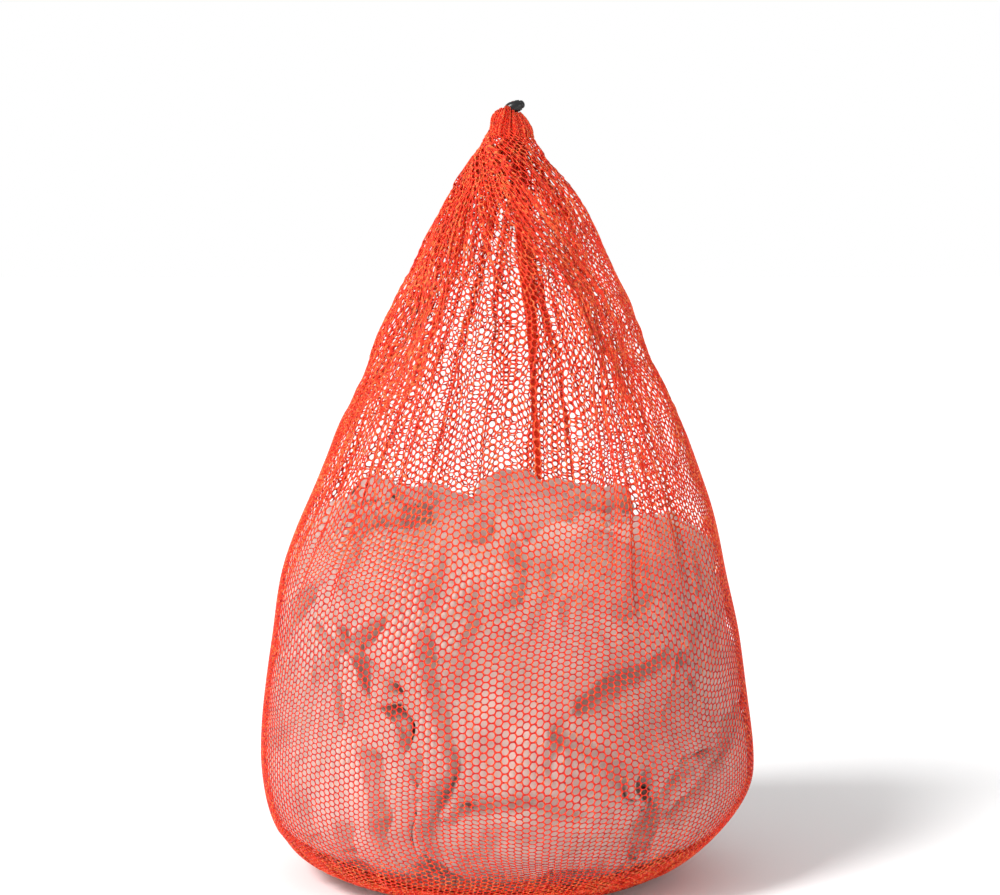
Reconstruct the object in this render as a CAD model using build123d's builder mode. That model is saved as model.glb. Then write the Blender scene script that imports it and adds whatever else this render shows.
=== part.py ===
from build123d import *
from math import cos, degrees, pi, radians, sin, tan
import os

# A drawstring net ball bag that stands on a soft load, with its mouth drawn up under a cord lock.
# Millimetres, +Z up. The origin is on the ground under the bag's middle, and -Y is the front.

# net
NET_THICK = 2.0
BASE_R = 128.0  # flat part of the base
CORNER_R = 115.5  # round between base and side
BELLY_R = BASE_R + CORNER_R
RIM_ANGLE = 32.0  # how far up that round the base panel is sewn on
SIDE = [(235.7, 206.0), (204.0, 348.0), (157.0, 474.0), (97.0, 607.0), (61.0, 679.0)]
NECK_R = 22.0
NECK_Z = 737.0
NECK_SLOPE = (-0.62, 1.0)

# seams, inside the net
SEAM_GAP = 0.3
SEAM_THICK = 2.0
SEAM_WIDTH = 8.0
SIDE_SEAM_TURN = 9.2  # degrees to the right of straight behind
SIDE_SEAM_TOP = 722.0

# gathered hem and the cord in it
HEM_TOP = 749.0
HEM_EDGE = 1.5  # bevel at the mouth and drop at the shoulder
HEM_SHOULDER_R = 15.0
HEM_SHOULDER_ROUND = 16.0
MOUTH_R = 4.5
CORD_D = 2.5
CORD_GAP = 0.65
LOOP_R = 9.5
LOOP_Z = 742.0
LOOP_SIDES = 8
LEG_SPREAD = 1.3  # each leg's distance from the middle plane
LEG_SHORT = 0.2  # how far each leg's end stays below the lock's top
BEND_SHARE = 0.45  # share of the shorter run next to a corner that its bend takes
EYELET_R = 3.3

# cord lock, along its own long axis
LOCK_AT = Vector(3.0, 0, 757.7)
LOCK_TILT = 20.0
BARREL_BACK = 11.0
BARREL_MIDDLE = -1.0
BARREL_R = 6.2
BARREL_MOUTH = 6.5
BARREL_MOUTH_R = 5.0
BORE_R = 4.2
BORE_END = -5.0
POCKET_R = 2.6
POCKET_END = -8.5
BARREL_ROUND = 25.0  # the swell of its sides towards the mouth
CROSS_HOLE_R = 2.8
BUTTON_R = 4.1
BUTTON_END = -2.4
DOME_START = 7.5
DOME_END = 10.5
TRAVEL = 2.6
NUB_R = 1.0
NUB_LENGTH = 1.5
SPRING_WIRE = 0.5
SPRING_R = 1.9
SPRING_TURNS = 4
SPRING_PLAY = 0.1  # at each end

# load of folded cloths
LOAD_INSET = 5.0
LOAD_GAP = 2.0
SLAB_TOP = 110.0
SLAB_CORNER = 87.0  # degrees of the base's round that the slab fills
CORE_R = 80.0
CORE_TOP = 392.0
BUNDLES = {  # direction from the middle and top
    "cloth_right": (0, 362.0),
    "cloth_rear": (90, 380.0),
    "cloth_left": (180, 390.0),
    "cloth_front": (270, 384.0),
}
BUNDLE_ROUND = 18.0

CORNER_CENTRE = (BASE_R, CORNER_R)
made = []


def finish(builder, name):
    """Labels a finished piece and keeps it for export."""
    builder.part.label = name
    made.append(builder.part)


def base_outline(inset):
    """Half outline of the base panel, from the axis to the rim, inset from the net's outside."""
    Line((0, inset), (BASE_R, inset))
    CenterArc(CORNER_CENTRE, CORNER_R - inset, -90, RIM_ANGLE)


def rim_point(inset):
    """Where the base panel meets the side, inset from the net's outside."""
    reach = CORNER_R - inset
    turn = radians(RIM_ANGLE - 90)
    return (BASE_R + reach * cos(turn), CORNER_R + reach * sin(turn))


def side_curve(inset):
    """The long side of the half outline, from the belly up to the neck."""
    points = [(BELLY_R, CORNER_R), *SIDE, (NECK_R, NECK_Z)]
    return Spline(*[(r - inset, z) for r, z in points], tangents=[(0, 1), NECK_SLOPE])


def wall_outline(inset):
    """Half outline of the side, from the rim to the neck, inset from the net's outside."""
    CenterArc(CORNER_CENTRE, CORNER_R - inset, RIM_ANGLE - 90, 90 - RIM_ANGLE)
    side_curve(inset)


def corner_radii(points):
    """The bend at each inner point, as large as the shorter run beside it allows."""
    radii = []
    for before, at, after in zip(points, points[1:], points[2:]):
        into = at - before
        out = after - at
        half_turn = radians(into.get_angle(out)) / 2
        radii.append(BEND_SHARE * min(into.length, out.length) / tan(half_turn))
    return radii


# ---------------------------------------------------------------- net
with BuildPart() as net_base:
    with BuildSketch(Plane.XZ):
        with BuildLine():
            base_outline(0)
            base_outline(NET_THICK)
            Line((0, 0), (0, NET_THICK))
            Line(rim_point(0), rim_point(NET_THICK))
        make_face()
    revolve(axis=Axis.Z)
finish(net_base, "net_base")

with BuildPart() as net_wall:
    with BuildSketch(Plane.XZ):
        with BuildLine():
            wall_outline(0)
            wall_outline(NET_THICK)
            Line((NECK_R, NECK_Z), (NECK_R - NET_THICK, NECK_Z))
            Line(rim_point(0), rim_point(NET_THICK))
        make_face()
    revolve(axis=Axis.Z)
finish(net_wall, "net_wall")

# ---------------------------------------------------------------- seams
SEAM_OUT = NET_THICK + SEAM_GAP
SEAM_IN = SEAM_OUT + SEAM_THICK
rim_half_turn = degrees(SEAM_WIDTH / 2 / CORNER_R)

with BuildPart() as base_seam:
    with BuildSketch(Plane.XZ):
        with BuildLine():
            start = RIM_ANGLE - 90 - rim_half_turn
            outer = CenterArc(CORNER_CENTRE, CORNER_R - SEAM_OUT, start, 2 * rim_half_turn)
            inner = CenterArc(CORNER_CENTRE, CORNER_R - SEAM_IN, start, 2 * rim_half_turn)
            Line(outer @ 0, inner @ 0)
            Line(outer @ 1, inner @ 1)
        make_face()
    revolve(axis=Axis.Z)
finish(base_seam, "base_seam")

seam_turn = radians(SIDE_SEAM_TURN)
seam_plane = Plane(
    origin=(0, 0, 0),
    x_dir=(sin(seam_turn), cos(seam_turn), 0),
    z_dir=(cos(seam_turn), -sin(seam_turn), 0),
)
seam_foot = CORNER_R * (1 - cos(radians(RIM_ANGLE))) + SEAM_WIDTH
with BuildPart() as side_seam:
    with BuildSketch(seam_plane):
        with BuildLine():
            wall_outline(SEAM_OUT)
            wall_outline(SEAM_IN)
            Line((NECK_R - SEAM_OUT, NECK_Z), (NECK_R - SEAM_IN, NECK_Z))
            Line(rim_point(SEAM_OUT), rim_point(SEAM_IN))
        make_face()
        with Locations((0, (seam_foot + SIDE_SEAM_TOP) / 2)):
            Rectangle(3 * BELLY_R, SIDE_SEAM_TOP - seam_foot, mode=Mode.INTERSECT)
    extrude(amount=SEAM_WIDTH / 2, both=True)
finish(side_seam, "side_seam")

# ---------------------------------------------------------------- cord lock
tilt = radians(LOCK_TILT)
ALONG = Vector(cos(tilt), 0, sin(tilt))
ACROSS = Vector(-sin(tilt), 0, cos(tilt))
lock_section = Plane(origin=LOCK_AT, x_dir=ALONG, z_dir=(0, -1, 0))
lock_axis = Axis(LOCK_AT, ALONG)
hole_plane = Plane(origin=LOCK_AT, x_dir=ALONG, z_dir=ACROSS)

with BuildPart() as lock_barrel:
    with BuildSketch(lock_section):
        with BuildLine():
            back = BARREL_BACK + BARREL_MIDDLE
            EllipticalCenterArc((BARREL_MIDDLE, 0), back, BARREL_R, start_angle=90, arc_size=90)
            RadiusArc((BARREL_MIDDLE, BARREL_R), (BARREL_MOUTH, BARREL_MOUTH_R), radius=BARREL_ROUND)
            Polyline(
                (BARREL_MOUTH, BARREL_MOUTH_R),
                (BARREL_MOUTH, BORE_R),
                (BORE_END, BORE_R),
                (BORE_END, POCKET_R),
                (POCKET_END, POCKET_R),
                (POCKET_END, 0),
                (-BARREL_BACK, 0),
            )
        make_face()
    revolve(axis=lock_axis)
    with BuildSketch(hole_plane):
        Circle(CROSS_HOLE_R)
    extrude(amount=2 * BARREL_R, both=True, mode=Mode.SUBTRACT)
finish(lock_barrel, "lock_barrel")

with BuildPart() as lock_button:
    with BuildSketch(lock_section):
        with BuildLine():
            dome = DOME_END - DOME_START
            EllipticalCenterArc((DOME_START, 0), dome, BUTTON_R, start_angle=0, arc_size=90)
            Polyline(
                (DOME_START, BUTTON_R),
                (BUTTON_END, BUTTON_R),
                (BUTTON_END, NUB_R),
                (BUTTON_END - NUB_LENGTH, NUB_R),
                (BUTTON_END - NUB_LENGTH, 0),
                (DOME_END, 0),
            )
        make_face()
    revolve(axis=lock_axis)
    with BuildSketch(hole_plane):
        with Locations((TRAVEL / 2, 0)):
            Circle(CROSS_HOLE_R)
    extrude(amount=2 * BARREL_R, both=True, mode=Mode.SUBTRACT)
finish(lock_button, "lock_button")

spring_length = BUTTON_END - POCKET_END - SPRING_WIRE - 2 * SPRING_PLAY
spring_foot = LOCK_AT + ALONG * (POCKET_END + SPRING_WIRE / 2 + SPRING_PLAY)
with BuildPart() as lock_spring:
    with BuildLine():
        coil = Helix(
            pitch=spring_length / SPRING_TURNS,
            height=spring_length,
            radius=SPRING_R,
            center=spring_foot,
            direction=ALONG,
        )
    with BuildSketch(Plane(origin=coil @ 0, z_dir=coil % 0)):
        Circle(SPRING_WIRE / 2)
    sweep()
finish(lock_spring, "lock_spring")

# ---------------------------------------------------------------- drawcord
# One cord: up out of the hem, through the lock and back. Its loop lies in the hem's channel.
leg_length = (LOCK_AT.Z + BARREL_R * cos(tilt) - LOOP_Z) / cos(tilt)
leg_top = LOCK_AT + ACROSS * (BARREL_R - LEG_SHORT)
leg_foot = leg_top - ACROSS * leg_length
loop_step = 2 * pi / LOOP_SIDES
loop_corner_r = LOOP_R / cos(loop_step / 2)
loop_points = [
    Vector(loop_corner_r * cos(k * loop_step), loop_corner_r * sin(k * loop_step), leg_foot.Z)
    for k in range(1, LOOP_SIDES)
]
cord_points = [
    Vector(leg_top.X, LEG_SPREAD, leg_top.Z),
    Vector(leg_foot.X, LEG_SPREAD, leg_foot.Z),
    *loop_points,
    Vector(leg_foot.X, -LEG_SPREAD, leg_foot.Z),
    Vector(leg_top.X, -LEG_SPREAD, leg_top.Z),
]
cord_radii = corner_radii(cord_points)
print("drawcord bend radii:", [round(r, 2) for r in cord_radii])
with BuildPart() as drawcord:
    with BuildLine():
        route = FilletPolyline(*cord_points, radius=cord_radii)
    with BuildSketch(Plane(origin=route @ 0, z_dir=route % 0)):
        Circle(CORD_D / 2)
    sweep()
print("drawcord length:", round(route.length, 1))
section_volume = pi * (CORD_D / 2) ** 2 * route.length
print("drawcord volume over section times length:", round(drawcord.part.volume / section_volume, 4))
finish(drawcord, "drawcord")

# ---------------------------------------------------------------- gathered hem
channel_r = CORD_D / 2 + CORD_GAP
with BuildPart() as mouth_hem:
    with BuildSketch(Plane.XZ):
        with BuildLine():
            Polyline(
                (HEM_SHOULDER_R, HEM_TOP - HEM_EDGE),
                (MOUTH_R + HEM_EDGE, HEM_TOP),
                (MOUTH_R, HEM_TOP - HEM_EDGE),
                (MOUTH_R, NECK_Z),
                (NECK_R, NECK_Z),
            )
            shoulder = (HEM_SHOULDER_R, HEM_TOP - HEM_EDGE)
            RadiusArc((NECK_R, NECK_Z), shoulder, radius=-HEM_SHOULDER_ROUND)
        make_face()
        with Locations((LOOP_R, leg_foot.Z)):
            Circle(channel_r, mode=Mode.SUBTRACT)
    revolve(axis=Axis.Z)
    with BuildSketch(Plane(origin=leg_foot, x_dir=ALONG, z_dir=ACROSS)):
        Circle(EYELET_R)
    extrude(amount=2 * (HEM_TOP - LOOP_Z), mode=Mode.SUBTRACT)
finish(mouth_hem, "mouth_hem")

# ---------------------------------------------------------------- load
with BuildPart() as cloth_base:
    with BuildSketch(Plane.XZ):
        with BuildLine():
            Line((0, LOAD_INSET), (BASE_R, LOAD_INSET))
            corner = CenterArc(CORNER_CENTRE, CORNER_R - LOAD_INSET, -90, SLAB_CORNER)
            Line(corner @ 1, (0, (corner @ 1).Y))
            Line((0, (corner @ 1).Y), (0, LOAD_INSET))
        make_face()
    revolve(axis=Axis.Z)
finish(cloth_base, "cloth_base")

bundle_foot = SLAB_TOP + LOAD_GAP
with BuildPart() as cloth_middle:
    with BuildSketch(Plane.XY.offset(bundle_foot)):
        Circle(CORE_R)
    extrude(amount=CORE_TOP - bundle_foot)
    fillet(cloth_middle.faces().sort_by(Axis.Z)[-1].edges(), BUNDLE_ROUND)
finish(cloth_middle, "cloth_middle")

gap_turn = degrees(LOAD_GAP / CORE_R)
for name, (azimuth, top) in BUNDLES.items():
    turn = radians(azimuth - 45 + gap_turn / 2)
    bundle_plane = Plane(
        origin=(0, 0, 0),
        x_dir=(cos(turn), sin(turn), 0),
        z_dir=(sin(turn), -cos(turn), 0),
    )
    with BuildPart() as bundle:
        with BuildSketch(bundle_plane) as section:
            with BuildLine():
                flank = side_curve(LOAD_INSET)
                Line(flank @ 1, (0, NECK_Z))
                Line((0, NECK_Z), (0, CORNER_R))
                Line((0, CORNER_R), flank @ 0)
            make_face()
            with Locations((CORE_R + LOAD_GAP, CORNER_R + LOAD_GAP)):
                Rectangle(
                    BELLY_R,
                    top - CORNER_R - LOAD_GAP,
                    align=(Align.MIN, Align.MIN),
                    mode=Mode.INTERSECT,
                )
            fillet(section.vertices().sort_by(Axis.Y)[-2:], BUNDLE_ROUND)
        revolve(axis=Axis.Z, revolution_arc=90 - gap_turn)
    finish(bundle, name)

os.makedirs("parts", exist_ok=True)
for part in made:
    export_step(part, f"parts/{part.label}.step")
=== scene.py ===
from math import pi

import bpy
import numpy as np
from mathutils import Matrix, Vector


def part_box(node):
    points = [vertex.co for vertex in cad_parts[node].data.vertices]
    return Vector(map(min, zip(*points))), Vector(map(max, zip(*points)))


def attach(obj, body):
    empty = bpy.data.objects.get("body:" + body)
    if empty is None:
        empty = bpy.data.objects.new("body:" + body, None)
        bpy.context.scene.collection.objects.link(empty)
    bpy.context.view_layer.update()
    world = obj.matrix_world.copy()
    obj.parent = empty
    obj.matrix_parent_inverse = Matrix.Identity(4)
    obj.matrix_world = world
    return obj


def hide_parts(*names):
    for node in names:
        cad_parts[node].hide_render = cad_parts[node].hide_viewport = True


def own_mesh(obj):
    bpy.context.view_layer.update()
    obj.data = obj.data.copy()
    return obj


# A full drawstring net ball bag: real hexagonal net strands over crumpled cloths. Lengths are in metres.

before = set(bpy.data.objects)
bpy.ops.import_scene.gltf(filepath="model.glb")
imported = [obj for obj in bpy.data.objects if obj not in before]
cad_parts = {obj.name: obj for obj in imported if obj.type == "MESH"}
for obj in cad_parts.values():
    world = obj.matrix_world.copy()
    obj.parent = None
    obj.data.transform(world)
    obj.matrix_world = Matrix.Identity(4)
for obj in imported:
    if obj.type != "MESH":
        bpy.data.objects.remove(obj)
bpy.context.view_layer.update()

SEED = 7

# ---------------- net, flat
COLUMNS = 232  # columns of holes round the bag
COLUMN_STEP = 0.00659  # from one column to the next
ROW_STEP = 0.0077  # from one hole to the next in a column
FOOT_ROW = 0.64  # how far the rows draw together at the foot, where the load spreads the net most
BELLY_ROW = 0.82  # round the belly
CONE_ROW = 1.06  # and how far they draw apart where the net hangs in a cone
STRAND = 0.00145  # strand width, where the net is pressed on the load
HUNG_STRAND = 0.00130  # and where it hangs free
STRAND_UP = 0.00058  # half its thickness
KNOT_UP = 1.25 * STRAND_UP  # and half its thickness at the knots
HOLE_ROUND = 0.6  # 0 a true hexagon, 1 a circle
CELL_SIDES = 12  # points round each cell: its corners, where the knots are, and the middles between them
WALL_PIECES = 5
NET_WIDTH = COLUMNS * COLUMN_STEP  # the wall's flat width, once round the bag

# ---------------- net, as it hangs
FINE_U = 8 * COLUMNS  # points round the bag that the folded wall is worked out at
FINE_V = 420  # and steps up it
PLEATS = 46
LATERAL_GIVE = 0.91  # how narrow the net draws at the load's top before it has to fold
NECK_GIVE = 0.76  # and at the neck
BAND_GIVE = 0.84  # and how much narrower still in the deep folds
NECK_SHARE = 1.5  # near the neck the net lies in folds in every direction
LEAST_SHARE = 0.02  # how much of a fold there is where it lies smooth
MOST_BEND = 2.5  # radians that a pleat's sides may turn: past pi / 2 they lie over each other
BEND_LIMIT = 40.0  # the hardest bend tried when a row's folds are solved
BEND_TRIES = 26
BANDS = (  # where the net lies in deep folds: direction in degrees, spread, strength
    (216, 32, 1.5),
    (314, 30, 1.6),
    (268, 3, 0.6),
    (48, 30, 1.4),
    (122, 30, 1.4),
    (81, 6, 1.2),
)
BETWEEN_BANDS = 0.04  # and how little it folds between them
SMOOTH_STRIPS = ((357, 20), (186, 8))  # where it hangs smooth: direction in degrees, spread
REAR = pi / 2
SEAM_TURN = -9.2 * pi / 180  # the side seam, to the right of straight behind
SEAM_AT = REAR + SEAM_TURN

# The heights that each change up the bag starts and ends at
BELLY_SHIFT_ENDS = (0.22, 0.46)
FOOT_ENDS = (0.0, 0.11)
BULGES_END = (0.30, 0.45)
EMPTY_STARTS = (0.39, 0.52)
NECK_ROUNDS = (0.69, 0.735)
CONE_DRAWS_IN = (0.42, 0.74)
GATHER_STARTS = (0.33, 0.60)
BANDS_DRAW_IN = (0.36, 0.48)
NECK_FOLDS = (0.55, 0.67)
DEPTH_FREED = (0.345, 0.47)
NECK_TIGHTENS = (0.655, 0.715)
NET_LOOSENS = (0.38, 0.50)
STRANDS_THIN = (0.30, 0.45)


def smoothstep(low, high, x):
    t = np.clip((x - low) / (high - low), 0, 1)
    return t * t * (3 - 2 * t)


def around(radius, turn, z):
    """Points at these distances from the axis, directions in radians and heights."""
    return np.stack(np.broadcast_arrays(radius * np.cos(turn), radius * np.sin(turn), z), -1)


def unit(vectors, least=1e-12):
    """The same vectors, each 1 long."""
    return vectors / np.maximum(np.linalg.norm(vectors, axis=-1, keepdims=True), least)


def beside(turn, middle, spread):
    """1 at a direction in degrees, fading to 0 past its spread."""
    apart = (np.asarray(turn) - middle + 180) % 360 - 180
    return np.exp(-((apart / spread) ** 4))


# ---------------- outline
ON_FLOOR = 1e-4  # lower than this counts as on the floor
OUTLINE_POINTS = 1600
OUTLINE_SMOOTH = 0.03  # length of outline that the moving average spans


def cad_outline():
    """The bag's half outline (distance from the axis, height), from the base's middle to the neck."""
    found = []
    for name in ("net_base", "net_wall"):
        co = np.array([v.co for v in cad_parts[name].data.vertices])
        found.append(np.column_stack([np.hypot(co[:, 0], co[:, 1]), co[:, 2]]))
    points = np.unique(np.round(np.vstack(found), 5), axis=0)
    points = points[np.lexsort((points[:, 0], points[:, 1]))]
    foot = points[points[:, 1] < ON_FLOOR][:, 0].max()
    hull = [np.array([0.0, 0.0]), np.array([foot, 0.0])]
    for p in points[points[:, 1] > ON_FLOOR]:
        while len(hull) > 2 and np.cross(hull[-1] - hull[-2], p - hull[-1]) <= 0:
            hull.pop()
        hull.append(p)
    return np.array(hull)


def even_outline(points, count, smooth):
    """The outline at even steps of its own length, smoothed by a short moving average."""
    run = np.concatenate([[0], np.cumsum(np.hypot(*np.diff(points, axis=0).T))])
    at = np.linspace(0, run[-1], count)
    even = np.column_stack([np.interp(at, run, points[:, k]) for k in (0, 1)])
    reach = int(smooth / (at[1] - at[0])) | 1
    window = np.hanning(reach + 2)[1:-1]
    window /= window.sum()
    for _ in range(2):
        before = 2 * even[0] - even[reach // 2:0:-1]
        after = 2 * even[-1] - even[-2:-reach // 2 - 1:-1]
        padded = np.vstack([before, even, after])
        even = np.column_stack([np.convolve(padded[:, k], window, "valid") for k in (0, 1)])
    even[0] = 0
    even[:, 1] = np.maximum(even[:, 1], 0)
    return at, even


OUTLINE_AT, OUTLINE = even_outline(cad_outline(), OUTLINE_POINTS, OUTLINE_SMOOTH)
RIM_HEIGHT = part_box("net_wall")[0].z
RIM_AT = np.interp(RIM_HEIGHT, OUTLINE[:, 1], OUTLINE_AT)
NECK_AT = OUTLINE_AT[-1]
WALL_HEIGHT = NECK_AT - RIM_AT


def outline(at):
    """(radius, height) at a distance along the outline from the middle of the base."""
    return np.interp(at, OUTLINE_AT, OUTLINE[:, 0]), np.interp(at, OUTLINE_AT, OUTLINE[:, 1])


def radius_at(height):
    return np.interp(height, OUTLINE[:, 1], OUTLINE[:, 0])


# ---------------- noise
GRID = np.random.default_rng(SEED).permutation(256)
GRID = np.concatenate([GRID, GRID, GRID])
SLOPES = np.random.default_rng(SEED + 1).normal(size=(256, 3))
SLOPES /= np.linalg.norm(SLOPES, axis=1)[:, None]


def noise(points):
    """Smooth gradient noise, about -0.6 to 0.6, one value for each point. Its grain is 1 across."""
    shape = points.shape[:-1]
    points = points.reshape(-1, 3)
    cell = np.floor(points).astype(int)
    part = points - cell
    fade = part ** 3 * (part * (part * 6 - 15) + 10)
    cell &= 255
    total = np.zeros(len(points))
    for corner in np.ndindex(2, 2, 2):
        x, y, z = (cell + corner).T
        slope = SLOPES[GRID[GRID[GRID[x] + y] + z] & 255]
        weight = np.prod(np.where(corner, fade, 1 - fade), axis=1)
        total += weight * np.einsum("ij,ij->i", slope, part - corner)
    return total.reshape(shape)


def layers(points, grains, shape=np.asarray):
    """Noise in several grains, each with its scale, shift and height. shape may fold each one over."""
    return sum(height * shape(noise(points * scale + shift)) for scale, shift, height in grains)


# ---------------- the wall's surface
BELLY_SHIFT = 0.007  # how far the belly lies to the left of the mouth
RIGHT_ROUNDED = 0.075  # the share that the foot draws in at the right
LEFT_FULLER = 0.028  # and stands out at the left
BULGE = 0.010  # soft unevenness of the belly
FLATTENED = 0.5  # how far front and back draw together at the left and right edges
FOLD_START = 0.50  # the share of the wall's height where a shallow fold starts
DEEP_START = 0.30  # and how much lower the deepest start
FOLD_RUN = 0.26  # the share over which a fold comes in
GATHER = 0.3  # unevenness of the gathering
DEEPEST_LOW = 0.0030  # deepest fold over the load
DEEPEST_CONE = 0.80  # deepest fold in the cone, as a share of its radius
DEEPEST_NECK = 0.28  # and at the neck
NET_RUMPLES = ((18, 0, 0.010), (64, 9, 0.004))  # noise scale, shift and height
NET_SIDEWAYS = ((22, 21, 0.007), (75, 33, 0.003))
LEAST_REACH = 0.15  # the share of its radius that the net keeps out from the axis, however deep it folds


def seam_shift(z):
    """The belly lies a little to the left of the mouth."""
    return -BELLY_SHIFT * (1 - smoothstep(*BELLY_SHIFT_ENDS, z))


def on_bag(radius, turn, z):
    """Points round the bag, moved across as the belly is."""
    points = around(radius, turn, z)
    points[..., 0] += seam_shift(z)
    return points


def belly_shape(radius, turn, z):
    """The lopsided lower part: fuller at the left foot, rounder at the right foot, with soft bulges."""
    right = np.maximum(np.cos(turn), 0) ** 2
    left = np.maximum(-np.cos(turn), 0) ** 2
    foot = 1 - smoothstep(*FOOT_ENDS, z)
    low = 1 - smoothstep(*BULGES_END, z)
    soft = noise(around(1.6, turn, 9 * z)) * BULGE
    lopsided = radius * (1 - RIGHT_ROUNDED * right * foot + LEFT_FULLER * left * foot)
    return lopsided + soft * low * smoothstep(0.1, 0.2, radius)


def flattened(turn, z):
    """How the empty upper net closes to an edge at its left and right, as front and back hang together."""
    empty = smoothstep(*EMPTY_STARTS, z) * (1 - smoothstep(*NECK_ROUNDS, z))
    return 1 - FLATTENED * empty * (1 - np.abs(np.sin(turn)))


def in_band(turn):
    """How deep the folds are in this direction, in degrees round from the right."""
    total = np.full(np.shape(turn), BETWEEN_BANDS)
    for middle, spread, strength in BANDS:
        total = total + strength * beside(turn, middle, spread)
    return total


def smooth_strips(turn):
    """0.1 where a strip of the net hangs without folds from foot to neck, 1 elsewhere."""
    share = np.ones(np.shape(turn))
    for middle, spread in SMOOTH_STRIPS:
        share = share * (1 - 0.9 * beside(turn, middle, spread))
    return share


def pleats(rng):
    """The pleats round the bag: their edges, how deep each is, how far up it starts, and its lean."""
    widths = rng.uniform(0.35, 1.8, PLEATS)
    edges = np.concatenate([[0], np.cumsum(widths)]) / widths.sum() * NET_WIDTH
    turn = np.degrees(SEAM_AT) + 360 * (edges[1:] + edges[:-1]) / 2 / NET_WIDTH
    share = rng.uniform(0.6, 1.3, PLEATS) * in_band(turn)
    start = FOLD_START - DEEP_START * np.minimum(share, 1) + rng.uniform(-0.05, 0.10, PLEATS)
    lean = rng.uniform(-1.5, 1.5, PLEATS)
    return edges, share, start * WALL_HEIGHT, lean


def fold_shares(share, start, ring, up, height):
    """How much each part of the wall folds, near 0 where it lies smooth."""
    weight = share * smoothstep(start, start + FOLD_RUN * WALL_HEIGHT, up) + LEAST_SHARE
    weight = weight + (NECK_SHARE - weight) * smoothstep(*NECK_FOLDS, height)
    return weight * smooth_strips(np.degrees(SEAM_AT + ring))


def strides(step, ring, up, radius, height):
    """How wide each step round the net is drawn."""
    cone = smoothstep(*CONE_DRAWS_IN, height)
    give = np.clip(2 * pi * radius / NET_WIDTH, LATERAL_GIVE + (NECK_GIVE - LATERAL_GIVE) * cone, 1)
    gather = 1 + GATHER * smoothstep(*GATHER_STARTS, height) * noise(around(7, ring, 5 * up))
    banded = np.minimum(in_band(np.degrees(SEAM_AT + ring)), 1)
    gather *= 1 - (1 - BAND_GIVE) * banded * smoothstep(*BANDS_DRAW_IN, height)
    return step * give * gather


def swing(bend, weight, wave):
    """The cloth's direction across each pleat, which swings like a river's."""
    return -MOST_BEND * (1 - np.exp(-bend[:, None] * weight / MOST_BEND)) * wave


def solved_swing(stride, weight, wave, radius):
    """The swing that makes each row of the net just fit round the bag, found by halving."""
    low, high = np.zeros(len(radius)), np.full(len(radius), BEND_LIMIT)
    for _ in range(BEND_TRIES):
        bend = (low + high) / 2
        turned = swing(bend, weight, wave)
        along = (np.cos(turned) * stride).sum(1)
        depth = np.cumsum(np.sin(turned) * stride, 1).mean(1)
        too_long = along > 2 * pi * np.maximum(radius + depth, 0.3 * radius)
        low, high = np.where(too_long, bend, low), np.where(too_long, high, bend)
    return swing((low + high) / 2, weight, wave)


def wall_surface():
    """The wall as a grid of points, FINE_V + 1 rows from the rim to the neck by FINE_U round the bag.

    Across each pleat the cloth's direction swings, so every row keeps the whole width it is drawn in to."""
    edges, share, start, lean = pleats(np.random.default_rng(SEED + 2))
    step = NET_WIDTH / FINE_U
    u = (np.arange(FINE_U) + 0.5) * step
    up = np.linspace(0, WALL_HEIGHT, FINE_V + 1)[:, None]
    pleat = np.searchsorted(edges, u, side="right") - 1
    part = (u - edges[pleat]) / (edges[pleat + 1] - edges[pleat])
    wave = np.sin(2 * pi * part)
    ring = 2 * pi * u / NET_WIDTH
    radius, height = outline(RIM_AT + up)
    stride = strides(step, ring, up, radius, height)
    weight = fold_shares(share[pleat], start[pleat], ring, up, height)
    turned = solved_swing(stride, weight, wave, radius[:, 0])

    along = np.cumsum(np.cos(turned) * stride, 1)
    depth = -np.cumsum(np.sin(turned) * stride, 1)
    most = (DEEPEST_CONE + (DEEPEST_NECK - DEEPEST_CONE) * smoothstep(*NECK_TIGHTENS, height)) * radius
    deepest = DEEPEST_LOW + (most - DEEPEST_LOW) * smoothstep(*DEPTH_FREED, height)
    depth = deepest * np.tanh(np.maximum(depth, 0) / deepest)
    turn = SEAM_AT + 2 * pi * along / along[:, -1:]
    turn = turn + lean[pleat] * depth / np.maximum(radius, 0.05)

    spot = around(radius, turn, 0.6 * height)
    loose = smoothstep(*NET_LOOSENS, height)
    rumple = layers(spot, NET_RUMPLES) * loose * smoothstep(0.01, 0.05, radius)
    sideways = layers(spot, NET_SIDEWAYS) * loose
    turn = turn + sideways / np.maximum(radius, 0.03)
    lifted = belly_shape(radius, turn, height) - depth + rumple - 0.4 * np.abs(rumple)
    points = on_bag(np.maximum(lifted, LEAST_REACH * radius), turn, height)
    points[..., 1] *= flattened(turn, height)
    return points


def surface_normals(grid):
    """Outward unit normals of a grid that closes on itself round the bag."""
    across = np.roll(grid, -1, 1) - np.roll(grid, 1, 1)
    return unit(np.cross(across, np.gradient(grid, axis=0)))


def sample(grid, row, column):
    """Values of a grid that closes on itself round the bag, between its points."""
    row = np.clip(row, 0, grid.shape[0] - 1.001)
    r0, c0 = np.floor(row).astype(int), np.floor(column).astype(int)
    fr, fc = (row - r0)[:, None], (column - c0)[:, None]
    c0, c1 = c0 % grid.shape[1], (c0 + 1) % grid.shape[1]
    low = grid[r0, c0] * (1 - fc) + grid[r0, c1] * fc
    high = grid[r0 + 1, c0] * (1 - fc) + grid[r0 + 1, c1] * fc
    return low * (1 - fr) + high * fr


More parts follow.
